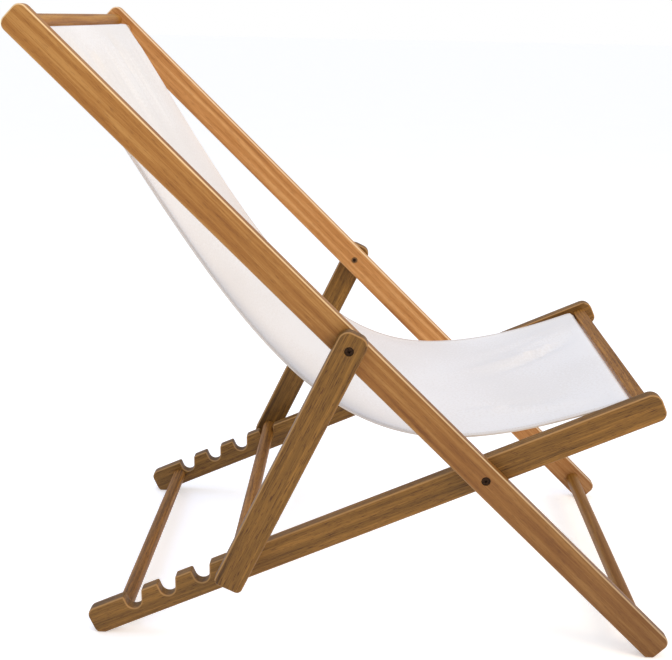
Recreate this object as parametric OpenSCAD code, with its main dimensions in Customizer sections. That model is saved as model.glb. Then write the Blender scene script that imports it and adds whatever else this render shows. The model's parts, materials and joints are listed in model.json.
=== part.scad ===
// Folding deck chair: two crossed timber frames, a prop frame and a cloth sling.
// +X is the way the sitter faces, +Y is the sitter's left, +Z is up.
// The origin is on the floor, under the middle of the chair.

/* [Timber] */
// Depth of every rail and leg, seen from the side
rail_h = 42; // [34:1:60]
// Thickness of every rail and leg
rail_t = 20; // [16:1:30]
// Diameter of the round crossbars
dowel_d = 22; // [16:1:28]
// Diameter of the turned tenons on the crossbars' ends
tenon_d = 14; // [8:1:18]
// Length of the tenons
tenon_len = 14; // [8:1:15]

/* [Back frame] */
// Scissor pivot to the top end of the back rails
back_top = 881; // [700:1:1060]
// Scissor pivot to the foot end of the back rails
back_foot = 369; // [345:1:460]
// Corner radius of the back rails' ends
back_end_r = 12; // [6:1:16]
// Top crossbar's centre to the rail's end
crossbar_inset = 19; // [14:1:40]
// Foot crossbar's centre to the rail's end
foot_inset = 45; // [25:1:60]

/* [Seat frame] */
// Clear width between the seat rails
seat_inner_w = 500; // [380:1:620]
// Scissor pivot to the front end of the seat rails
seat_front = 265; // [200:1:290]
// Scissor pivot to the rear end of the seat rails
seat_rear = 617; // [600:1:760]
// Height of the seat rails' centre line above the pivot
seat_rise = 2; // [0:0.5:4]
// Upper corner radius of the seat rails' front ends
seat_nose_r = 16; // [8:1:20]
// Length of the front crossbar along the rails
front_bar_w = 18; // [14:1:30]
// Height of the front crossbar
front_bar_h = 22; // [16:1:30]
// Front crossbar's front face to the rail's end
front_bar_inset = 15; // [8:1:25]
// Rear crossbar's centre to the rail's end
rear_inset = 50; // [45:1:60]
// Rear crossbar's centre below the rails' centre line
rear_drop = 1; // [0:0.5:3]

/* [Notches] */
// Number of notches on each seat rail
notch_count = 4; // [2:1:4]
// Distance between notches
notch_pitch = 55; // [48:1:58]
// Scissor pivot to the front notch
notch_first = 379; // [370:1:400]
// Height of the notches' centre above the pivot
notch_z = 11; // [8:1:14]
// Lean of each notch's front wall, in degrees
notch_flare = 24; // [10:1:30]

/* [Prop frame] */
// Scissor pivot to the prop pivot, along the back rails
prop_pivot = 270; // [240:1:300]
// Prop pivot to the prop crossbar
prop_len = 369; // [350:1:400]
// Prop legs beyond the pivot
prop_head = 25; // [22:1:35]
// Prop legs beyond the crossbar
prop_tail = 22; // [18:1:35]
// Corner radius of the prop legs' top ends
prop_head_r = 14; // [6:1:16]
// Corner radius of the prop legs' bottom ends
prop_tail_r = 8; // [4:1:16]

/* [Pivot hardware] */
// Diameter of the pivot bolts
bolt_d = 6; // [5:0.5:8]
// Diameter of the bolt heads
head_d = 12; // [10:1:16]
// Thickness of the bolt heads
head_h = 4; // [3:0.5:6]
// Diameter of the barrel nuts
nut_d = 10; // [9:1:14]
// Thickness of the barrel nuts
nut_h = 6; // [4:0.5:8]
// Width of the hexagon sockets in the bolt heads
socket_w = 4; // [3:0.5:5]
// Diameter of the spacer washers
washer_d = 18; // [14:1:24]
// Thickness of the spacer washers, which is the gap between the frames
washer_t = 2; // [1:0.5:4]

/* [Sling] */
// Width of the cloth
sling_w = 486; // [360:1:600]
// Thickness of the cloth as a collision solid
sling_t = 3; // [2:0.5:4]
// Diameter of the rods in the sling's hems
rod_d = 14; // [10:1:18]
// Top of the seat rails to the top of the cloth at the front rod
front_rod_drop = 5; // [3:0.5:10]
// How far the top rod stands in front of the back rails' centre line
top_rod_fore = 4; // [0:1:8]
// Angle at which the cloth falls behind the back rails, in degrees
sling_lean = 14.5; // [8:0.5:18]
// Angle at which the cloth meets the front rod, in degrees
sling_rise = 2.5; // [0:0.5:6]
// Pull of the top of the cloth's curve, as a share of the back's length
top_pull = 0.66; // [0.5:0.01:0.75]
// Pull of the front of the cloth's curve, as a share of the notch distance
front_pull = 1.1; // [0.9:0.01:1.2]

/* [Fits] */
// Radial clearance of the bolts and of glued tenons
fit_gap = 0.05; // [0.02:0.01:0.1]
// Clearance of a crossbar in a notch, and of the cloth round its rods
loose_gap = 0.3; // [0.3:0.1:1]
// Clearance round and above a bolt head or nut in its recess
recess_gap = 0.5; // [0.3:0.1:1]
// Top hem of the cloth to the top crossbar
hem_gap = 1.5; // [1:0.5:6]
// Front hem of the cloth to the front crossbar
front_gap = 1.5; // [1:0.5:10]
// Height of the small flats cut under the four feet
foot_flat = 1.2; // [0.6:0.1:2]

/* [Hidden] */
$fn = 64;

honey = "#b98247";
walnut = "#86603a";
steel = "#3a3532";
canvas = "#ece8e2";

// How far a cut runs past the face that it opens
over = 1;
// Block that trims the feet level with the floor
floor_block = [4000, 2000, 500];

half_h = rail_h / 2;
dowel_r = dowel_d / 2;

// Inner faces of the three frames, measured from the middle of the chair
seat_in = seat_inner_w / 2;
back_in = seat_in + rail_t + washer_t;
prop_in = back_in + rail_t + washer_t;

// The prop locks the scissor: the triangle pivot, prop pivot, front notch
notch_reach = norm([notch_first, notch_z]);
open_angle = acos((pow(prop_pivot, 2) + pow(notch_reach, 2) - pow(prop_len, 2))
                  / (2 * prop_pivot * notch_reach)) + atan(notch_z / notch_first);

// Unit vector along the back rails to their top, in the seat frame
back_up = [-cos(open_angle), sin(open_angle)];
// Unit vector square to the back rails, towards the sitter
back_out = [back_up[1], -back_up[0]];

// Centres of the round corners that stand on the floor, in the seat frame
foot_c = -(back_foot - back_end_r) * back_up - (half_h - back_end_r) * back_out;
heel_c = [-(seat_rear - back_end_r), seat_rise - half_h + back_end_r];

// Slope of the seat rails that puts both feet on the floor
seat_slope = atan((heel_c[1] - foot_c[1]) / (foot_c[0] - heel_c[0]));
lean = open_angle - seat_slope;

// Turns a point of the seat frame into the chair's own directions
function turned(p) = [p[0] * cos(seat_slope) - p[1] * sin(seat_slope),
                      p[0] * sin(seat_slope) + p[1] * cos(seat_slope)];

pivot_z = back_end_r - foot_flat - turned(foot_c)[1];

// The back rails' top end reaches furthest back, their foot end furthest forward
top_c = (back_top - back_end_r) * back_up - (half_h - back_end_r) * back_out;
toe_c = -(back_foot - back_end_r) * back_up + (half_h - back_end_r) * back_out;
pivot_x = -(turned(top_c)[0] + turned(toe_c)[0]) / 2;

prop_at = prop_pivot * back_up;
notch_at = [-notch_first, notch_z];
prop_dir = (prop_at - notch_at) / norm(prop_at - notch_at);
prop_angle = atan2(prop_dir[1], prop_dir[0]);

crossbar_at = (back_top - crossbar_inset) * back_up;
foot_at = -(back_foot - foot_inset) * back_up;
rear_at = [-(seat_rear - rear_inset), seat_rise - rear_drop];
front_bar_x = seat_front - front_bar_inset - front_bar_w;

// The cloth is a hem round each rod, joined by one smooth hanging curve
hem_r = rod_d / 2 + loose_gap + sling_t;
mid_r = hem_r - sling_t / 2;
top_rod_at = (back_top - crossbar_inset - dowel_r - hem_gap - hem_r) * back_up + top_rod_fore * back_out;
front_rod_at = [front_bar_x - front_gap - hem_r, seat_rise + half_h - front_rod_drop - hem_r];

fall = -cos(sling_lean) * back_up - sin(sling_lean) * back_out;
fall_out = [-fall[1], fall[0]];
run = [cos(sling_rise), -sin(sling_rise)];
run_out = [-run[1], run[0]];
sling_from = top_rod_at + mid_r * fall_out;
sling_to = front_rod_at + mid_r * run_out;
sling_p = [
    sling_from,
    sling_from + top_pull * back_top * fall,
    sling_to - front_pull * notch_first * run,
    sling_to
];
sling_steps = 24;
corner_steps = 8;
// Where the round of each hem starts, in degrees before it touches the curve
hem_start = 15;

function bezier(p, t) = pow(1 - t, 3) * p[0] + 3 * pow(1 - t, 2) * t * p[1]
                      + 3 * (1 - t) * t * t * p[2] + t * t * t * p[3];
function bezier_dir(p, t) = let (d = pow(1 - t, 2) * (p[1] - p[0]) + 2 * (1 - t) * t * (p[2] - p[1])
                                 + t * t * (p[3] - p[2])) d / norm(d);
function left_of(d) = [-d[1], d[0]];

// Points on an arc round c, from one angle to another
function arc(c, r, from, to, steps) =
    [for (k = [0:steps]) let (a = from + (to - from) * k / steps) c + r * [cos(a), sin(a)]];

// Puts what is drawn in the seat frame, X forward and Y up, into the chair
module in_seat_frame() {
    translate([pivot_x, 0, pivot_z]) rotate([90, -seat_slope, 0]) children();
}

// A slab from the plane y0 to the plane y1 with a side outline in the seat frame
module slab(y0, y1) {
    translate([pivot_x, 0, pivot_z]) rotate([0, -seat_slope, 0])
        translate([0, max(y0, y1), 0]) rotate([90, 0, 0])
            linear_extrude(abs(y1 - y0)) children();
}

// A round bar across the chair at a point of the seat frame
module across(at, r, y0, y1) {
    slab(y0, y1) translate(at) circle(r);
}

// Turns an outline drawn along +X so that it lies along the back rails
module along_back() {
    rotate(180 - open_angle) children();
}

module above_floor() {
    difference() {
        children();
        translate([0, 0, -floor_block[2] / 2]) cube(floor_block, center = true);
    }
}

// A bar from x0 to x1 along the centre line y, with round corners whose radii are
// given in order: x0 bottom, x1 bottom, x1 top, x0 top
module bar_outline(x0, x1, y, r) {
    ends = [x0, x1, x1, x0];
    polygon([for (k = [0:3]) let (in_x = k % 3 == 0 ? 1 : -1, in_y = k < 2 ? 1 : -1)
        each arc([ends[k] + in_x * r[k], y - in_y * (half_h - r[k])], r[k],
                 180 + 90 * k, 270 + 90 * k, corner_steps)]);
}

module notch_outline() {
    r = dowel_r + loose_gap;
    top = rail_h;
    wall = r * [cos(notch_flare), -sin(notch_flare)];
    polygon(concat(
        arc([0, 0], r, 180, 360 - notch_flare, 2 * corner_steps),
        [[wall[0] + (top - wall[1]) * tan(notch_flare), top], [-r, top]]
    ));
}

// The cloth from the side: over the curve, round the front hem, back under, round the top hem
module sling_outline() {
    shares = [for (k = [0:sling_steps]) k / sling_steps];
    inner = [for (k = [1:sling_steps - 1]) 1 - k / sling_steps];
    leave = acos((hem_r - sling_t) / hem_r);
    front_start = atan2(run_out[1], run_out[0]);
    top_end = atan2(fall_out[1], fall_out[0]);
    polygon(concat(
        [for (t = shares) bezier(sling_p, t) + sling_t / 2 * left_of(bezier_dir(sling_p, t))],
        arc(front_rod_at, hem_r, front_start - hem_start, front_start - 360 + leave, 3 * corner_steps),
        [for (t = inner) bezier(sling_p, t) - sling_t / 2 * left_of(bezier_dir(sling_p, t))],
        arc(top_rod_at, hem_r, top_end - leave, top_end - 360 + hem_start, 3 * corner_steps)
    ));
}

// Pieces that come in pairs are drawn on side s: -1 is the sitter's right, 1 is the left

module back_rail(s) {
    color(honey) above_floor() difference() {
        slab(s * back_in, s * (back_in + rail_t)) along_back()
            bar_outline(-back_foot, back_top, 0, [for (k = [0:3]) back_end_r]);
        for (at = [crossbar_at, foot_at])
            across(at, tenon_d / 2 + fit_gap, s * (back_in - over), s * (back_in + tenon_len + recess_gap));
        across(top_rod_at, rod_d / 2 + fit_gap, s * (back_in - over), s * (back_in + tenon_len));
        for (at = [[0, 0], prop_at])
            across(at, bolt_d / 2 + fit_gap, s * (back_in - over), s * (back_in + rail_t + over));
        across([0, 0], head_d / 2 + recess_gap, s * (back_in + rail_t - head_h - recess_gap),
               s * (back_in + rail_t + over));
        across(prop_at, nut_d / 2 + recess_gap, s * (back_in - over), s * (back_in + nut_h));
    }
}

module seat_rail(s) {
    color(walnut) above_floor() difference() {
        slab(s * seat_in, s * (seat_in + rail_t))
            bar_outline(-seat_rear, seat_front, seat_rise,
                        [back_end_r, back_end_r, seat_nose_r, back_end_r]);
        slab(s * (seat_in - over), s * (seat_in + rail_t + over))
            for (k = [0:notch_count - 1])
                translate(notch_at - [k * notch_pitch, 0]) notch_outline();
        across(rear_at, tenon_d / 2 + fit_gap, s * (seat_in - over), s * (seat_in + tenon_len + recess_gap));
        across(front_rod_at, rod_d / 2 + fit_gap, s * (seat_in - over), s * (seat_in + tenon_len));
        across([front_bar_x + front_bar_w / 2, seat_rise], tenon_d / 2 + fit_gap,
               s * (seat_in - over), s * (seat_in + tenon_len + recess_gap));
        across([0, 0], bolt_d / 2 + fit_gap, s * (seat_in - over), s * (seat_in + rail_t + over));
        across([0, 0], nut_d / 2 + recess_gap, s * (seat_in - over), s * (seat_in + nut_h));
    }
}

module prop_leg(s) {
    color(walnut) difference() {
        slab(s * prop_in, s * (prop_in + rail_t)) translate(notch_at) rotate(prop_angle)
            bar_outline(-prop_tail, prop_len + prop_head, 0,
                        [prop_tail_r, prop_head_r, prop_head_r, prop_tail_r]);
        across(notch_at, tenon_d / 2 + fit_gap, s * (prop_in - over), s * (prop_in + tenon_len + recess_gap));
        across(prop_at, bolt_d / 2 + fit_gap, s * (prop_in - over), s * (prop_in + rail_t + over));
        across(prop_at, head_d / 2 + recess_gap, s * (prop_in + rail_t - head_h - recess_gap),
               s * (prop_in + rail_t + over));
    }
}

// A crossbar whose shoulders meet the inner faces and whose tenons go into the rails
module crossbar(at, reach, tint) {
    color(tint) {
        across(at, dowel_r, -reach, reach);
        across(at, tenon_d / 2, -(reach + tenon_len), reach + tenon_len);
    }
}

module front_bar() {
    color(walnut) {
        slab(-seat_in, seat_in)
            translate([front_bar_x, seat_rise - front_bar_h / 2]) square([front_bar_w, front_bar_h]);
        across([front_bar_x + front_bar_w / 2, seat_rise], tenon_d / 2,
               -(seat_in + tenon_len), seat_in + tenon_len);
    }
}

module rod(at, reach) {
    color(honey) across(at, rod_d / 2, -(reach + tenon_len), reach + tenon_len);
}

// A bolt along Y whose head is in the outer face at y_out and whose end is flush at y_in
module bolt(at, s, y_in, y_out) {
    head_in = y_out - head_h - recess_gap;
    color(steel) difference() {
        union() {
            across(at, bolt_d / 2, s * y_in, s * (head_in + head_h / 2));
            across(at, head_d / 2, s * head_in, s * (head_in + head_h));
        }
        slab(s * (head_in + head_h / 2), s * y_out) translate(at)
            circle(socket_w / sqrt(3), $fn = 6);
    }
}

module nut(at, s, y_in) {
    color(steel) difference() {
        across(at, nut_d / 2, s * y_in, s * (y_in + nut_h));
        across(at, bolt_d / 2 + fit_gap, s * (y_in - over), s * (y_in + nut_h + over));
    }
}

module washer(at, s, y_in) {
    color(steel) difference() {
        across(at, washer_d / 2, s * y_in, s * (y_in + washer_t));
        across(at, bolt_d / 2 + fit_gap, s * (y_in - over), s * (y_in + washer_t + over));
    }
}

module sling() {
    color(canvas) difference() {
        slab(-sling_w / 2, sling_w / 2) sling_outline();
        for (at = [top_rod_at, front_rod_at])
            across(at, rod_d / 2 + loose_gap, -sling_w / 2 - over, sling_w / 2 + over);
    }
}

module right_back_rail() { back_rail(-1); }
module left_back_rail() { back_rail(1); }
module top_crossbar() { crossbar(crossbar_at, back_in, honey); }
module foot_crossbar() { crossbar(foot_at, back_in, honey); }
module top_sling_rod() { rod(top_rod_at, back_in); }
module right_seat_rail() { seat_rail(-1); }
module left_seat_rail() { seat_rail(1); }
module front_crossbar() { front_bar(); }
module rear_crossbar() { crossbar(rear_at, seat_in, walnut); }
module front_sling_rod() { rod(front_rod_at, seat_in); }
module right_prop_leg() { prop_leg(-1); }
module left_prop_leg() { prop_leg(1); }
module prop_crossbar() { crossbar(notch_at, prop_in, walnut); }
module right_scissor_bolt() { bolt([0, 0], -1, seat_in, back_in + rail_t); }
module left_scissor_bolt() { bolt([0, 0], 1, seat_in, back_in + rail_t); }
module right_scissor_nut() { nut([0, 0], -1, seat_in); }
module left_scissor_nut() { nut([0, 0], 1, seat_in); }
module right_scissor_washer() { washer([0, 0], -1, seat_in + rail_t); }
module left_scissor_washer() { washer([0, 0], 1, seat_in + rail_t); }
module right_prop_bolt() { bolt(prop_at, -1, back_in, prop_in + rail_t); }
module left_prop_bolt() { bolt(prop_at, 1, back_in, prop_in + rail_t); }
module right_prop_nut() { nut(prop_at, -1, back_in); }
module left_prop_nut() { nut(prop_at, 1, back_in); }
module right_prop_washer() { washer(prop_at, -1, back_in + rail_t); }
module left_prop_washer() { washer(prop_at, 1, back_in + rail_t); }

right_back_rail();
left_back_rail();
top_crossbar();
foot_crossbar();
top_sling_rod();
right_seat_rail();
left_seat_rail();
front_crossbar();
rear_crossbar();
front_sling_rod();
right_prop_leg();
left_prop_leg();
prop_crossbar();
right_scissor_bolt();
left_scissor_bolt();
right_scissor_nut();
left_scissor_nut();
right_scissor_washer();
left_scissor_washer();
right_prop_bolt();
left_prop_bolt();
right_prop_nut();
left_prop_nut();
right_prop_washer();
left_prop_washer();
sling();
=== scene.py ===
import json
import math
import random

import bmesh
import bpy
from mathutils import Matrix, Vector

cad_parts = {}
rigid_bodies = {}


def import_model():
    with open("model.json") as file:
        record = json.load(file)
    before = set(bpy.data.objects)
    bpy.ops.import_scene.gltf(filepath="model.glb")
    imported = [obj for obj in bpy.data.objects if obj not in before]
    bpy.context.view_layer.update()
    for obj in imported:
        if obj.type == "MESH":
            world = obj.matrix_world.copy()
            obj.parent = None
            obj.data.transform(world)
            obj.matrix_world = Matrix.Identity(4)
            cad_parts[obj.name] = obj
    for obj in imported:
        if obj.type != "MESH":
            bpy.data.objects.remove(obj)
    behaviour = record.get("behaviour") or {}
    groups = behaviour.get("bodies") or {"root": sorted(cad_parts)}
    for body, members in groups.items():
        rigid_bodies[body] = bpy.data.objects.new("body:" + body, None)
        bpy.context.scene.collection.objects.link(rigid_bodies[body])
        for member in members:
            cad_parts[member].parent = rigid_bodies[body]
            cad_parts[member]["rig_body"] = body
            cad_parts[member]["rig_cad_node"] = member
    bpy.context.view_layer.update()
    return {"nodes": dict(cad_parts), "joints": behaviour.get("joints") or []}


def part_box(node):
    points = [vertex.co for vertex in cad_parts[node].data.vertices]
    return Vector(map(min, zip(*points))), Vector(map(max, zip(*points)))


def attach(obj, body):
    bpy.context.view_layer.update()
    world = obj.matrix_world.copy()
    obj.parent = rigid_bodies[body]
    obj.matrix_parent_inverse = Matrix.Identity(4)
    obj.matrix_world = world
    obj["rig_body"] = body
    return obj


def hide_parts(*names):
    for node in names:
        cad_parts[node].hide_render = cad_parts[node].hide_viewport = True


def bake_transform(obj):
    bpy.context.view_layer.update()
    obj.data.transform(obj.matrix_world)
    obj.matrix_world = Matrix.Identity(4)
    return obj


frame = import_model()
nodes = frame["nodes"]
joints = {j["name"]: Vector(j["pos_m"]) for j in frame["joints"]}
bpy.ops.object.select_all(action="DESELECT")
print("frame loaded,", len(nodes), "nodes")

# camera, lights and floor
studio = {
    "cameraPlace": (0.0044, -1.753, 0.8829),
    "cameraTurn": (74.51, -1.135, 1.60),   # degrees about X, Y, Z
    "lens": 60.73,
    "sensorWidth": 36,
    "floorSize": 90,
    "floorDrop": 0.0005,    # keeps the paper off the plane of the feet
    "floorRoughness": 0.9,
    "paperGrain": 3.0,      # faint patches about 0.3 m across
    "paperTint": "#FAFAFA",
    "floorColour": "#FFFFFF",
    "floorGlow": 0.34,
    "backdropColour": "#FFFFFF",
    "skyColour": "#F4F6FC",
    "skyStrength": 0.72,
    "lamps": {
        "keyLight": {"place": (2.4, -2.0, 2.2), "aim": (0, 0, 0.4), "size": 1.6, "power": 52,
                     "colour": "#FFE6C6"},
        "topLight": {"place": (-0.9, 0.3, 3.0), "aim": (0, 0, 0.3), "size": 2.0, "power": 24,
                     "colour": "#B4CEFF"},
        "rearLight": {"place": (-2.2, 1.6, 1.8), "aim": (0, 0, 0.5), "size": 1.8, "power": 8,
                      "colour": "#FFF7EE"},
    },
}


def linear(hexColour):
    channels = [int(hexColour[i:i + 2], 16) / 255 for i in (1, 3, 5)]
    return [c / 12.92 if c <= 0.04045 else ((c + 0.055) / 1.055) ** 2.4 for c in channels] + [1]


def addNode(tree, kind, settings=None, links=None, stops=()):
    # links maps an input's name or number to another node's output socket or to a plain value;
    # stops are a colour ramp's places and colours
    made = tree.nodes.new(kind)
    for name, value in (settings or {}).items():
        setattr(made, name, value)
    for name, value in (links or {}).items():
        if isinstance(value, bpy.types.NodeSocket):
            tree.links.new(value, made.inputs[name])
        else:
            made.inputs[name].default_value = value
    for extra in range(2, len(stops)):
        made.color_ramp.elements.new(0.5)
    for number, (place, colour) in enumerate(stops):
        made.color_ramp.elements[number].position = place
        made.color_ramp.elements[number].color = linear(colour)
    return made


def newMaterial(name):
    material = bpy.data.materials.new(name)
    material.use_nodes = True
    tree = material.node_tree
    tree.nodes.clear()
    shader = addNode(tree, "ShaderNodeBsdfPrincipled")
    addNode(tree, "ShaderNodeOutputMaterial", links={"Surface": shader.outputs[0]})
    return material, tree, shader


def addArea(name, lamp):
    bpy.ops.object.light_add(type="AREA", location=lamp["place"])
    made = bpy.context.object
    made.name = name
    made.data.size = lamp["size"]
    made.data.energy = lamp["power"]
    made.data.color = linear(lamp["colour"])[:3]
    aim = Vector(lamp["aim"]) - Vector(lamp["place"])
    made.rotation_euler = aim.to_track_quat("-Z", "Y").to_euler()


def makeStudio(s):
    bpy.ops.object.camera_add(location=s["cameraPlace"],
                              rotation=[math.radians(a) for a in s["cameraTurn"]])
    camera = bpy.context.object
    camera.data.lens = s["lens"]
    camera.data.sensor_width = s["sensorWidth"]
    bpy.context.scene.camera = camera
    bpy.ops.mesh.primitive_plane_add(size=s["floorSize"], location=(0, 0, -s["floorDrop"]))
    floor = bpy.context.object
    floor.name = "floor"
    material, tree, shader = newMaterial("matt white paper sweep")
    place = addNode(tree, "ShaderNodeTexCoord").outputs["Object"]
    patches = addNode(tree, "ShaderNodeTexNoise", links={"Vector": place, "Scale": s["paperGrain"]})
    paper = addNode(tree, "ShaderNodeValToRGB", links={0: patches.outputs[0]},
                    stops=[(0, s["paperTint"]), (1, s["floorColour"])])
    tree.links.new(paper.outputs[0], shader.inputs["Base Color"])
    shader.inputs["Roughness"].default_value = s["floorRoughness"]
    # a light table's glow, so that the paper stays white beside the pale cloth
    shader.inputs["Emission Color"].default_value = linear(s["floorColour"])
    shader.inputs["Emission Strength"].default_value = s["floorGlow"]
    floor.data.materials.append(material)
    world = bpy.data.worlds.new("soft sky")
    bpy.context.scene.world = world
    world.use_nodes = True
    sky = world.node_tree
    sky.nodes["Background"].inputs[0].default_value = linear(s["skyColour"])
    sky.nodes["Background"].inputs[1].default_value = s["skyStrength"]
    # the backdrop is seen as plain white but lights the chair only as strongly as the sky
    backdrop = addNode(sky, "ShaderNodeBackground", links={0: linear(s["backdropColour"])})
    seen = addNode(sky, "ShaderNodeMixShader",
                   links={0: addNode(sky, "ShaderNodeLightPath").outputs["Is Camera Ray"],
                          1: sky.nodes["Background"].outputs[0], 2: backdrop.outputs[0]})
    sky.links.new(seen.outputs[0], sky.nodes["World Output"].inputs[0])
    for name, lamp in s["lamps"].items():
        addArea(name, lamp)
    bpy.context.scene.view_settings.view_transform = "Standard"


makeStudio(studio)
print("studio ready")

# directions of the three frames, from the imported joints
scissor = joints["seat_fold"]
propPivot = joints["prop_swing"]
backUp = (propPivot - scissor).normalized()
backOut = Vector((backUp.z, 0, -backUp.x))
frontRod = sum(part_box("front_sling_rod"), Vector()) / 2
topRod = sum(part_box("top_sling_rod"), Vector()) / 2
rearBar = sum(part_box("rear_crossbar"), Vector()) / 2
propBar = sum(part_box("prop_crossbar"), Vector()) / 2
seatAhead = (scissor - rearBar).normalized()
propUp = (propPivot - propBar).normalized()


def angleOf(direction):
    return math.atan2(direction.z, direction.x)


timber = {
    "arris": 0.0024,       # rounding of the rails' long edges
    "arrisSegments": 3,
    "barArris": 0.0016,    # rounding of the crossbars' shoulders
    "boreClear": 0.0088,   # edges nearer than this to a bore's axis stay sharp
    "flatAngle": 2,        # degrees below which two faces count as one
    "sharpAngle": 32,      # degrees above which an edge is rounded
    "smoothAngle": 38,     # steeper edges than this, such as a bore's rim, stay crisp
    "slantFrom": 0.1,      # a face that leans between these two shares of Y is part of a rounding
    "slantTo": 0.97,
    "mergeWithin": 0.00002,
    "underHighlight": 0.15,     # share of the painted highlight on roundings that face downwards
    "arrisHighlight": 0.9,      # how far the rounded edges go towards the palest colour of the wood, a painted highlight
}
# how the wood's pattern is drawn; repeats are in a metre, along the grain and then across it
grain = {
    "streakRepeats": 5.5,        # streaks are about 180 mm long; each wood says how wide
    "ringRepeats": (0.9, 11, 11),
    "ringScale": 1.7,            # about 17 mm between rings, before they are distorted
    "ringDistortion": 5.5,
    "broadRepeats": (4, 22, 22),
    "broadShare": 0.42,
    "poreRepeats": (60, 900, 900),   # pores 17 mm long and 1 mm wide, coarse so that they show
    "poreEdge": (0.54, 0.66),
    "poreTint": "#8C6A4C",
    "poreDepth": -0.6,           # against the streaks' height
    "colourStops": (0.46, 0.66, 0.82, 1.0),
    "floorShadeTint": "#382005",
    "glossSpread": 0.1,
    "specular": 0.32,
    "bumpStrength": 0.22,
    "bumpDistance": 0.0006,
}


def timberMaterial(name, hexes, grainAngle, acrossY, seed, wood):
    # oiled hardwood: long soft streaks, fine dark pores, a slight sheen from the oil;
    # seed shifts the pattern, so that no two rails look alike
    material, tree, shader = newMaterial(name)
    place = addNode(tree, "ShaderNodeTexCoord").outputs["Object"]
    turn = (0, grainAngle, 0) if not acrossY else (0, 0, math.pi / 2)
    along = addNode(tree, "ShaderNodeMapping", {"vector_type": "POINT"},
                    {"Vector": place, "Rotation": turn,
                     "Location": (seed, seed * 0.37, seed * 0.61)})
    # streaks are 3 to 5 mm wide
    streakPlace = addNode(tree, "ShaderNodeMapping",
                          links={"Vector": along.outputs[0],
                                 "Scale": (grain["streakRepeats"], wood["streaks"],
                                           wood["streaks"])})
    streaks = addNode(tree, "ShaderNodeTexNoise",
                      links={"Vector": streakPlace.outputs[0], "Scale": 1.0, "Detail": 5.0,
                             "Roughness": 0.62, "Distortion": 0.7})
    # cathedral figure
    ringPlace = addNode(tree, "ShaderNodeMapping",
                        links={"Vector": along.outputs[0], "Scale": grain["ringRepeats"]})
    rings = addNode(tree, "ShaderNodeTexWave", {"bands_direction": "Z"},
                    {"Vector": ringPlace.outputs[0], "Scale": grain["ringScale"],
                     "Distortion": grain["ringDistortion"],
                     "Detail": 3.0, "Detail Scale": 1.4})
    # broad changes of colour along a rail
    broadPlace = addNode(tree, "ShaderNodeMapping",
                         links={"Vector": along.outputs[0], "Scale": grain["broadRepeats"]})
    broad = addNode(tree, "ShaderNodeTexNoise",
                    links={"Vector": broadPlace.outputs[0], "Scale": 1.0, "Detail": 2.0})
    porePlace = addNode(tree, "ShaderNodeMapping",
                        links={"Vector": along.outputs[0], "Scale": grain["poreRepeats"]})
    pores = addNode(tree, "ShaderNodeTexNoise",
                    links={"Vector": porePlace.outputs[0], "Scale": 1.0, "Detail": 2.0,
                           "Roughness": 0.7})
    figure = addNode(tree, "ShaderNodeMath", {"operation": "MULTIPLY_ADD"},
                     {0: rings.outputs["Fac"], 1: wood["rings"], 2: streaks.outputs["Fac"]})
    both = addNode(tree, "ShaderNodeMath", {"operation": "MULTIPLY_ADD"},
                   {0: broad.outputs["Fac"], 1: grain["broadShare"], 2: figure.outputs[0]})
    *woodHexes, palest = hexes
    colour = addNode(tree, "ShaderNodeValToRGB", links={0: both.outputs[0]},
                     stops=list(zip(grain["colourStops"], woodHexes)))
    poreMask = addNode(tree, "ShaderNodeMapRange",
                       links={"Value": pores.outputs["Fac"], "From Min": grain["poreEdge"][0],
                              "From Max": grain["poreEdge"][1], "To Min": 0.0,
                              "To Max": wood["pores"]})
    darker = addNode(tree, "ShaderNodeMix", {"data_type": "RGBA", "blend_type": "MULTIPLY"},
                     {0: poreMask.outputs[0], 6: colour.outputs[0], 7: linear(grain["poreTint"])})
    # painted highlight: the rounded arrises go towards the palest colour of the wood, as where
    # light catches them
    arris = addNode(tree, "ShaderNodeAttribute", {"attribute_name": "arris"}).outputs["Fac"]
    paintedHighlight = addNode(tree, "ShaderNodeMath", {"operation": "MULTIPLY"},
                     {0: arris, 1: timber["arrisHighlight"]})
    paler = addNode(tree, "ShaderNodeMix", {"data_type": "RGBA"},
                    {0: paintedHighlight.outputs[0], 6: darker.outputs[2], 7: linear(palest)})
    # painted shade: the wood is darker towards the floor, where less light reaches it
    level = addNode(tree, "ShaderNodeSeparateXYZ", links={0: place}).outputs["Z"]
    depth = addNode(tree, "ShaderNodeMapRange",
                    links={"Value": level, "From Min": 0.0, "From Max": wood["deepBelow"],
                           "To Min": wood["deepening"], "To Max": 0.0})
    deeper = addNode(tree, "ShaderNodeMix", {"data_type": "RGBA", "blend_type": "MULTIPLY"},
                     {0: depth.outputs[0], 6: paler.outputs[2], 7: linear(grain["floorShadeTint"])})
    tree.links.new(deeper.outputs[2], shader.inputs["Base Color"])
    rough = addNode(tree, "ShaderNodeMapRange",
                    links={"Value": streaks.outputs["Fac"], "From Min": 0.3, "From Max": 0.7,
                           "To Min": wood["roughness"] + grain["glossSpread"],
                           "To Max": wood["roughness"]})
    tree.links.new(rough.outputs[0], shader.inputs["Roughness"])
    shader.inputs["Specular IOR Level"].default_value = grain["specular"]
    height = addNode(tree, "ShaderNodeMath", {"operation": "MULTIPLY_ADD"},
                     {0: pores.outputs["Fac"], 1: grain["poreDepth"], 2: streaks.outputs["Fac"]})
    bump = addNode(tree, "ShaderNodeBump",
                   links={"Height": height.outputs[0], "Strength": grain["bumpStrength"],
                          "Distance": grain["bumpDistance"]})
    tree.links.new(bump.outputs[0], shader.inputs["Normal"])
    return material


def boreAxes():
    names = ("top_crossbar", "foot_crossbar", "top_sling_rod", "front_sling_rod", "rear_crossbar",
             "front_crossbar", "right_scissor_bolt", "right_prop_bolt")
    return [sum(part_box(n), Vector()) / 2 for n in names] + [propBar]


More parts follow.
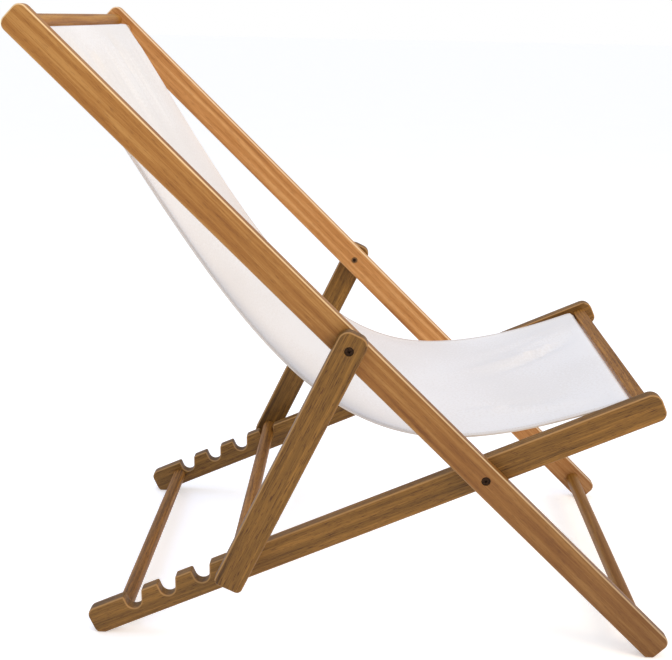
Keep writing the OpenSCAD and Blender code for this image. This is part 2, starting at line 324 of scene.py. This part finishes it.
def selectOnly(piece):
    bpy.ops.object.select_all(action="DESELECT")
    piece.select_set(True)
    bpy.context.view_layer.objects.active = piece


def copyOfNode(name, pieceName):
    selectOnly(nodes[name])
    bpy.ops.object.duplicate()
    piece = bpy.context.object
    piece.name = pieceName
    piece.parent = None
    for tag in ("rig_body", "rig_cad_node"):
        del piece[tag]
    piece.data.materials.clear()
    bpy.ops.object.mode_set(mode="EDIT")
    bpy.ops.mesh.select_all(action="SELECT")
    bpy.ops.mesh.remove_doubles(threshold=timber["mergeWithin"])
    bpy.ops.mesh.dissolve_limited(angle_limit=math.radians(timber["flatAngle"]))
    bpy.ops.object.mode_set(mode="OBJECT")
    return piece


def roundEdges(piece, width, clearOf, sharpAngle):
    # marks the sharp edges of the outline, but not those of a bore, and bevels them
    bm = bmesh.new()
    bm.from_mesh(piece.data)
    weight = bm.edges.layers.float.new("bevel_weight_edge")
    for edge in bm.edges:
        if len(edge.link_faces) != 2 or edge.calc_face_angle(0) < math.radians(sharpAngle):
            continue
        middle = (edge.verts[0].co + edge.verts[1].co) / 2
        near = min([math.hypot(middle.x - a.x, middle.z - a.z) for a in clearOf] or [1])
        if near > timber["boreClear"]:
            edge[weight] = 1
    bm.to_mesh(piece.data)
    bm.free()
    selectOnly(piece)
    bevel = piece.modifiers.new("arris", "BEVEL")
    bevel.limit_method = "WEIGHT"
    bevel.width = width
    bevel.segments = timber["arrisSegments"]
    bevel.use_clamp_overlap = False
    bpy.ops.object.modifier_apply(modifier="arris")
    # large faces stay flat to the light and only the rounding turns
    bpy.ops.object.shade_smooth_by_angle(angle=math.radians(timber["smoothAngle"]))
    weighted = piece.modifiers.new("flat faces", "WEIGHTED_NORMAL")
    weighted.keep_sharp = True
    bpy.ops.object.modifier_apply(modifier="flat faces")
    # marks the middle of each rounding, where every face around a point is part of it
    mark = piece.data.attributes.new("arris", "FLOAT", "POINT")
    slanting = [timber["slantFrom"] < abs(face.normal.y) < timber["slantTo"]
                for face in piece.data.polygons]
    inside = [True] * len(piece.data.vertices)
    for face, slants in zip(piece.data.polygons, slanting):
        for corner in face.vertices:
            inside[corner] = inside[corner] and slants
    # painted highlight: the upper roundings, which face the light, are pale, the lower ones hardly
    paintedHighlight = [1.0 if vertex.normal.z > 0 else timber["underHighlight"] for vertex in piece.data.vertices]
    mark.data.foreach_set("value", [highlightShare if within else 0.0 for within, highlightShare in zip(inside, paintedHighlight)])


def makeTimber(name, body, material, width, clearOf):
    piece = copyOfNode(name, name + "_wood")
    roundEdges(piece, width, clearOf, timber["sharpAngle"])
    piece.data.materials.append(material)
    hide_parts(name)
    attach(piece, body)


# deepBelow and deepening set the painted shade towards the floor: the height in metres that it
# reaches, and its strength
iroko = {"streaks": 190, "rings": 0.2, "pores": 0.35, "roughness": 0.46,
         "deepBelow": 0.25, "deepening": 0.55}
# the right back rail's painted shade reaches higher
shadedIroko = dict(iroko, deepBelow=0.7, deepening=0.55)
teak = {"streaks": 310, "rings": 0.12, "pores": 0.8, "roughness": 0.5,
        "deepBelow": 0.1, "deepening": 0.1}
beech = {"streaks": 240, "rings": 0.08, "pores": 0.3, "roughness": 0.55,
         "deepBelow": 0.1, "deepening": 0.1}
# the last colour of each set is the palest, used for the painted highlight on the upper roundings
honeyHexes = ("#7C4A1C", "#9B662B", "#A67133", "#B88545", "#F6D5A2")
# painted light: a lighter copy of the honey colours for the left back rail, whose inner face
# catches more light
litHoneyHexes = ("#915D2F", "#B47A3F", "#C0864A", "#D39E62", "#F4D6AC")
honeyBarHexes = ("#7C4A14", "#9D661D", "#A97224", "#BC8634", "#DFB070")
walnutHexes = ("#452C0B", "#6B4916", "#7C561E", "#94692A", "#AE8450")
barHexes = ("#57360F", "#85571B", "#9B6724", "#B67E31", "#CE9C5A")
rodHexes = ("#9C7348", "#BE9464", "#CDA678", "#DBB98E", "#E4C9A4")
bores = boreAxes()
# the left back rail takes the lighter copy of the honey colours, which is painted light
for side, seed in (("right", 1.3), ("left", 4.1)):
    makeTimber(side + "_back_rail", "back",
               timberMaterial("oiled iroko, " + side + " back rail",
                              honeyHexes if side == "right" else litHoneyHexes, angleOf(backUp),
                              False, seed, shadedIroko if side == "right" else iroko),
               timber["arris"], bores)
    makeTimber(side + "_seat_rail", "seat",
               timberMaterial("oiled teak, " + side + " seat rail", walnutHexes, angleOf(seatAhead),
                              False, seed + 7, teak), timber["arris"], bores)
    makeTimber(side + "_prop_leg", "prop",
               timberMaterial("oiled teak, " + side + " prop leg", walnutHexes, angleOf(propUp),
                              False, seed + 13, teak), timber["arris"], bores)
honeyBar = timberMaterial("oiled iroko, crossbars", honeyBarHexes, 0, True, 21, iroko)
walnutBar = timberMaterial("oiled teak, crossbars", barHexes, 0, True, 27, teak)
for name, body, material, slot in (
        ("top_crossbar", "back", honeyBar, "honey_wood"),
        ("foot_crossbar", "back", honeyBar, "honey_wood"),
        ("rear_crossbar", "seat", walnutBar, "walnut_wood"),
        ("prop_crossbar", "prop", walnutBar, "walnut_wood"),
        ("front_crossbar", "seat", walnutBar, "walnut_wood")):
    makeTimber(name, body, material, timber["barArris"], [])
rodWood = timberMaterial("turned beech rods", rodHexes, 0, True, 33, beech)
for name in ("top_sling_rod", "front_sling_rod"):
    nodes[name].data.materials.clear()
    nodes[name].data.materials.append(rodWood)
print("timber done")


steel = {
    "wearScale": 420.0,       # blotches of 2 to 3 mm
    "wearStops": (0.35, 0.7),
    "smoother": 0.1,
    "rougher": 0.12,
    "metallic": 0.85,
    "bumpStrength": 0.15,
    "bumpDistance": 0.0002,
}


def steelMaterial(name, hexes, rough):
    # blackened, bronzed or zinc-plated steel: metallic, with faint blotches of wear
    material, tree, shader = newMaterial(name)
    place = addNode(tree, "ShaderNodeTexCoord").outputs["Object"]
    wear = addNode(tree, "ShaderNodeTexNoise",
                   links={"Vector": place, "Scale": steel["wearScale"], "Detail": 4.0})
    worn = addNode(tree, "ShaderNodeValToRGB", links={0: wear.outputs["Fac"]},
                   stops=list(zip(steel["wearStops"], hexes)))
    tree.links.new(worn.outputs[0], shader.inputs["Base Color"])
    spread = addNode(tree, "ShaderNodeMapRange",
                     links={"Value": wear.outputs["Fac"], "To Min": rough - steel["smoother"],
                            "To Max": rough + steel["rougher"]})
    tree.links.new(spread.outputs[0], shader.inputs["Roughness"])
    shader.inputs["Metallic"].default_value = steel["metallic"]
    bump = addNode(tree, "ShaderNodeBump",
                   links={"Height": wear.outputs["Fac"], "Strength": steel["bumpStrength"],
                          "Distance": steel["bumpDistance"]})
    tree.links.new(bump.outputs[0], shader.inputs["Normal"])
    return material


blackSteel = steelMaterial("blackened steel", ("#20130A", "#3C2817"), 0.5)
zincSteel = steelMaterial("zinc-plated steel", ("#8C8A86", "#A9A7A2"), 0.38)
bronzedSteel = steelMaterial("bronzed steel", ("#6E5236", "#8C6B48"), 0.45)
for name, node in nodes.items():
    if "bolt" in name or "nut" in name or "washer" in name:
        node.data.materials.clear()
        node.data.materials.append(zincSteel if "washer" in name else
                                   bronzedSteel if "nut" in name else blackSteel)
print("hardware done")


sling = {
    "width": 0.486,
    "thickness": 0.0012,
    "hemWidth": 0.009,
    "hemThickness": 0.0024,
    "hemStep": 0.0022,      # share of the width over which a hem steps down to the cloth
    "hemSlack": 1.0001,
    "rodRadius": 0.0070,
    "rodGap": 0.0004,
    "pocketDepth": 0.030,   # rod's centre to the line of stitches that closes the rod pocket
    "seamDrop": 1.6,        # thicknesses that the stitched end lies inside the pocket
    "pocketTurn": 205,      # degrees of rod that the cloth wraps
    "pocketSteps": 12,
    "curveSteps": 120,
    "lean": 14.5,           # degrees that the cloth falls behind the back rails
    "rise": 2.5,            # degrees that it drops towards the front rod, from the seat rails' line
    "topPull": 0.5815,      # metres of the curve's pull at each end
    "frontPull": 0.4169,
    "rows": 150,
    "columns": 44,
    "topFolds": 13,
    "frontFolds": 7,
    "foldHeight": 0.0085,
    "topFold": {"jitter": 0.02, "peak": 0.06, "peakSpread": 0.05, "run": (0.08, 0.2), "slant": 0.12,
                "width": (0.012, 0.026), "least": 0.4},
    "frontFold": {"across": (0.1, 0.42), "peak": (0.8, 0.93), "run": (0.05, 0.1),
                  "slant": (0.5, 1.3), "width": (0.02, 0.035), "least": 0.5},
    "calmEnds": 0.07,       # metres at each end that stay free of folds
    "calmRamp": 0.03,
    "smoothAngle": 40,
    "seed": 7,
    # the line along which the cloth goes over from the back to the seat as the chair folds
    "foldReach": 0.653,
    "foldDip": 19.85,
}


def hangingCurve(s, t):
    reach = s["rodRadius"] + s["rodGap"] + s["thickness"] / 2
    lean, rise = math.radians(s["lean"]), math.radians(s["rise"])
    fall = -math.cos(lean) * backUp - math.sin(lean) * backOut
    ahead = math.cos(rise) * seatAhead - math.sin(rise) * Vector((-seatAhead.z, 0, seatAhead.x))
    p0 = topRod + reach * Vector((-fall.z, 0, fall.x))
    p3 = frontRod + reach * Vector((-ahead.z, 0, ahead.x))
    p1 = p0 + s["topPull"] * fall
    p2 = p3 - s["frontPull"] * ahead
    return (1 - t) ** 3 * p0 + 3 * (1 - t) ** 2 * t * p1 + 3 * (1 - t) * t * t * p2 + t ** 3 * p3


def pocket(s, rod, tangent, onward, clockwise):
    # from the stitch line on the underside, back round the rod to where the cloth leaves it
    reach = s["rodRadius"] + s["rodGap"] + s["thickness"] / 2
    start = math.atan2(tangent.z, tangent.x)
    stitch = rod + onward * s["pocketDepth"] + tangent * (reach - s["seamDrop"] * s["thickness"])
    points = [stitch]
    turnBy = math.radians(s["pocketTurn"])
    for k in range(s["pocketSteps"] + 1):
        a = start + clockwise * turnBy * (1 - k / s["pocketSteps"])
        points.append(rod + reach * Vector((math.cos(a), 0, math.sin(a))))
    return points


def slingPath(s):
    curve = [hangingCurve(s, k / s["curveSteps"]) for k in range(s["curveSteps"] + 1)]
    fall = (curve[1] - curve[0]).normalized()
    back = (curve[-2] - curve[-1]).normalized()
    top = pocket(s, topRod, (curve[0] - topRod).normalized(), fall, 1)
    front = pocket(s, frontRod, (curve[-1] - frontRod).normalized(), back, -1)
    path = top[:-1] + curve + front[:-1][::-1]
    lengths = [0]
    for a, b in zip(path[:-1], path[1:]):
        lengths.append(lengths[-1] + (b - a).length)
    return path, lengths


def atLength(path, lengths, along):
    k = 1
    while k < len(path) - 1 and lengths[k] < along:
        k += 1
    part = (along - lengths[k - 1]) / (lengths[k] - lengths[k - 1])
    return path[k - 1].lerp(path[k], part), (path[k] - path[k - 1]).normalized()


def foldsOf(s):
    # soft folds: across place, where it is strongest, how far it runs, its slant, width and height
    random.seed(s["seed"])
    folds = []
    top, front = s["topFold"], s["frontFold"]
    for k in range(s["topFolds"]):
        folds.append({"across": ((k + 0.5) / s["topFolds"] - 0.5
                                 + random.uniform(-top["jitter"], top["jitter"])),
                      "peak": top["peak"] + random.uniform(0, top["peakSpread"]),
                      "run": random.uniform(*top["run"]),
                      "slant": random.uniform(-top["slant"], top["slant"]),
                      "width": random.uniform(*top["width"]),
                      "height": (s["foldHeight"] * random.choice((-1, 1))
                                 * random.uniform(top["least"], 1))})
    for k in range(s["frontFolds"]):
        side = 1 if k % 2 else -1
        folds.append({"across": side * random.uniform(*front["across"]),
                      "peak": random.uniform(*front["peak"]), "run": random.uniform(*front["run"]),
                      "slant": side * random.uniform(*front["slant"]),
                      "width": random.uniform(*front["width"]),
                      "height": (s["foldHeight"] * random.choice((-1, 1))
                                 * random.uniform(front["least"], 1))})
    return folds


def foldHeight(folds, across, along):
    total = 0
    for f in folds:
        line = f["across"] + f["slant"] * (along - f["peak"])
        total += (f["height"] * math.exp(-((across - line) / f["width"]) ** 2)
                  * math.exp(-((along - f["peak"]) / f["run"]) ** 2))
    return total


def makeSling(s):
    path, lengths = slingPath(s)
    total = lengths[-1]
    bpy.ops.mesh.primitive_grid_add(x_subdivisions=s["columns"], y_subdivisions=s["rows"], size=1)
    piece = bpy.context.object
    piece.name = "canvas_sling"
    hemEdge = s["hemWidth"] / s["width"]
    folds = foldsOf(s)
    # columns are gathered so that one pair of lines stands at each hem's inner edge
    inner = s["columns"] - 2 * 3   # three columns make each hem
    hemEnd = hemEdge + s["hemStep"]
    stops = [0, hemEdge * 0.5, hemEdge, hemEnd]
    stops += [hemEnd + (1 - 2 * hemEnd) * k / inner for k in range(1, inner)]
    stops += [1 - hemEnd, 1 - hemEdge, 1 - hemEdge * 0.5, 1]
    hem = piece.vertex_groups.new(name="hem")
    uvs = piece.data.uv_layers.active
    for loop in piece.data.loops:
        co = piece.data.vertices[loop.vertex_index].co
        column = round((co.x + 0.5) * s["columns"])
        uvs.data[loop.index].uv = (stops[column] * s["width"], (0.5 - co.y) * total)
    for vertex in piece.data.vertices:
        column = round((vertex.co.x + 0.5) * s["columns"])
        across = stops[column] - 0.5
        along = 0.5 - vertex.co.y
        place, ahead = atLength(path, lengths, along * total)
        normal = Vector((-ahead.z, 0, ahead.x))
        fromEnd = min(along * total, total * (1 - along))
        free = min(1, max(0, (fromEnd - s["calmEnds"]) / s["calmRamp"]))
        lift = foldHeight(folds, across, along) * free
        vertex.co = place + normal * lift + Vector((0, -across * s["width"], 0))
        atHem = abs(across) > 0.5 - hemEdge * s["hemSlack"]
        hem.add([vertex.index], 1.0 if atHem else s["thickness"] / s["hemThickness"], "REPLACE")
    piece.data.update()
    settle(piece, s)
    selectOnly(piece)
    bpy.ops.object.shade_smooth()
    thick = piece.modifiers.new("cloth thickness", "SOLIDIFY")
    thick.thickness = s["hemThickness"]
    thick.offset = 0
    thick.vertex_group = "hem"
    bpy.ops.object.modifier_apply(modifier="cloth thickness")
    bpy.ops.object.mode_set(mode="EDIT")
    bpy.ops.mesh.select_all(action="SELECT")
    bpy.ops.mesh.normals_make_consistent(inside=False)
    bpy.ops.object.mode_set(mode="OBJECT")
    bpy.ops.object.shade_smooth_by_angle(angle=math.radians(s["smoothAngle"]))
    print("sling cloth", round(total, 3), "m long before it was hung")
    return piece, total


hanging = {
    "frames": 30,
    "pinBeyond": 0.004,      # metres past the stitch line that stay pinned with the pocket
    "settings": {"quality": 10, "mass": 0.35, "tension_stiffness": 60, "compression_stiffness": 60,
                 "shear_stiffness": 30, "bending_stiffness": 3, "air_damping": 4},
}


def settle(piece, s):
    # a short cloth simulation: the free cloth hangs between its two pinned rod pockets
    pins = piece.vertex_groups.new(name="pins")
    for vertex in piece.data.vertices:
        nearRod = min((vertex.co - Vector((rod.x, vertex.co.y, rod.z))).length
                      for rod in (topRod, frontRod))
        if nearRod < s["pocketDepth"] + hanging["pinBeyond"]:
            pins.add([vertex.index], 1.0, "REPLACE")
    before = [vertex.co.copy() for vertex in piece.data.vertices]
    selectOnly(piece)
    cloth = piece.modifiers.new("cloth", "CLOTH")
    for name, value in hanging["settings"].items():
        setattr(cloth.settings, name, value)
    cloth.settings.vertex_group_mass = "pins"
    cloth.collision_settings.use_collision = False
    cloth.point_cache.frame_start = 1
    cloth.point_cache.frame_end = hanging["frames"]
    for step in range(1, hanging["frames"] + 1):
        bpy.context.scene.frame_set(step)
    bpy.ops.object.modifier_apply(modifier="cloth")
    bpy.context.scene.frame_set(1)
    piece.vertex_groups.remove(piece.vertex_groups["pins"])
    # the simulation gives the creases; each row's mean place stays on the hanging curve
    rowLength = s["columns"] + 1
    for first in range(0, len(before), rowLength):
        row = range(first, first + rowLength)
        drift = sum((piece.data.vertices[k].co - before[k] for k in row), Vector()) / rowLength
        for k in row:
            piece.data.vertices[k].co -= drift


canvas = {
    "threadPitch": 0.0024,     # three times the real spacing, so that the weave shows
    "slubScale": 260.0,        # thick and thin places in the yarn, about 4 mm long
    "cloudScale": 5.0,
    "clothStops": ((0.5, "#E5E2DC"), (0.9, "#ECE9E4"), (1.0, "#F0EEEA")),
    "hemHex": "#D8D0C6",
    "hemShare": 0.75,
    "stitchHex": "#F4EFE6",
    "stitchInset": 0.0018,     # from the hem's inner edge to the middle of the stitches
    "stitchHalf": 0.0007,
    "stitchPitch": 0.0042,
    "stitchShare": 0.68,       # share of the pitch that is thread
    "stitchTint": 0.8,
    "stitchHeight": 1.2,       # the slubs' height is 1
    "weaveHeight": 0.25,
    "slubShare": 0.8,
    "roughness": 0.88,
    "sheen": 0.15,
    "bumpStrength": 0.35,
    "bumpDistance": 0.0005,
}


def canvasMaterial(s, c):
    # plain-woven cotton canvas: matt, soft, with turned and stitched side hems
    material, tree, shader = newMaterial("cotton canvas, natural white")
    uv = addNode(tree, "ShaderNodeUVMap", {"uv_map": "UVMap"}).outputs[0]
    split = addNode(tree, "ShaderNodeSeparateXYZ", links={0: uv})
    slub = addNode(tree, "ShaderNodeTexNoise",
                   links={"Vector": uv, "Scale": c["slubScale"], "Detail": 3.0})
    cloud = addNode(tree, "ShaderNodeTexNoise",
                    links={"Vector": uv, "Scale": c["cloudScale"], "Detail": 1.0})
    turns = 2 * math.pi / c["threadPitch"]
    half = s["width"] / 2
    value = {"across": split.outputs[0], "along": split.outputs[1],
             "slub": slub.outputs["Fac"], "cloud": cloud.outputs["Fac"]}
    # each row names a result, what is done and to what, which may be an earlier result
    for name, operation, *inputs in (
            ("warpTurn", "MULTIPLY", "across", turns), ("warp", "SINE", "warpTurn"),
            ("weftTurn", "MULTIPLY", "along", turns), ("weft", "SINE", "weftTurn"),
            ("weave", "MULTIPLY", "warp", "weft"),
            ("fromMiddle", "SUBTRACT", "across", half), ("aside", "ABSOLUTE", "fromMiddle"),
            ("edge", "SUBTRACT", half, "aside"), ("inHem", "LESS_THAN", "edge", s["hemWidth"]),
            ("hemTint", "MULTIPLY", "inHem", c["hemShare"]),
            ("pastStitch", "SUBTRACT", "edge", s["hemWidth"] - c["stitchInset"]),
            ("fromStitch", "ABSOLUTE", "pastStitch"),
            ("stitchLine", "LESS_THAN", "fromStitch", c["stitchHalf"]),
            ("stitchCount", "MULTIPLY", "along", 1 / c["stitchPitch"]),
            ("stitchPart", "FRACT", "stitchCount"),
            ("stitchDash", "LESS_THAN", "stitchPart", c["stitchShare"]),
            ("stitch", "MULTIPLY", "stitchLine", "stitchDash"),
            ("stitchTint", "MULTIPLY", "stitch", c["stitchTint"]),
            ("shade", "MULTIPLY_ADD", "slub", c["slubShare"], "cloud"),
            ("raised", "MULTIPLY_ADD", "stitch", c["stitchHeight"], "slub"),
            ("height", "MULTIPLY_ADD", "weave", c["weaveHeight"], "raised")):
        links = {number: value.get(item, item) for number, item in enumerate(inputs)}
        value[name] = addNode(tree, "ShaderNodeMath", {"operation": operation}, links).outputs[0]
    base = addNode(tree, "ShaderNodeValToRGB", links={0: value["shade"]}, stops=c["clothStops"])
    hemmed = addNode(tree, "ShaderNodeMix", {"data_type": "RGBA"},
                     {0: value["hemTint"], 6: base.outputs[0], 7: linear(c["hemHex"])})
    sewn = addNode(tree, "ShaderNodeMix", {"data_type": "RGBA"},
                   {0: value["stitchTint"], 6: hemmed.outputs[2],
                    7: linear(c["stitchHex"])})
    tree.links.new(sewn.outputs[2], shader.inputs["Base Color"])
    shader.inputs["Roughness"].default_value = c["roughness"]
    shader.inputs["Sheen Weight"].default_value = c["sheen"]
    bump = addNode(tree, "ShaderNodeBump",
                   links={"Height": value["height"], "Strength": c["bumpStrength"],
                          "Distance": c["bumpDistance"]})
    tree.links.new(bump.outputs[0], shader.inputs["Normal"])
    return material


slingPiece, slingLength = makeSling(sling)
slingPiece.data.materials.append(canvasMaterial(sling, canvas))
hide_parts("sling")
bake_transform(slingPiece)
print("sling done")
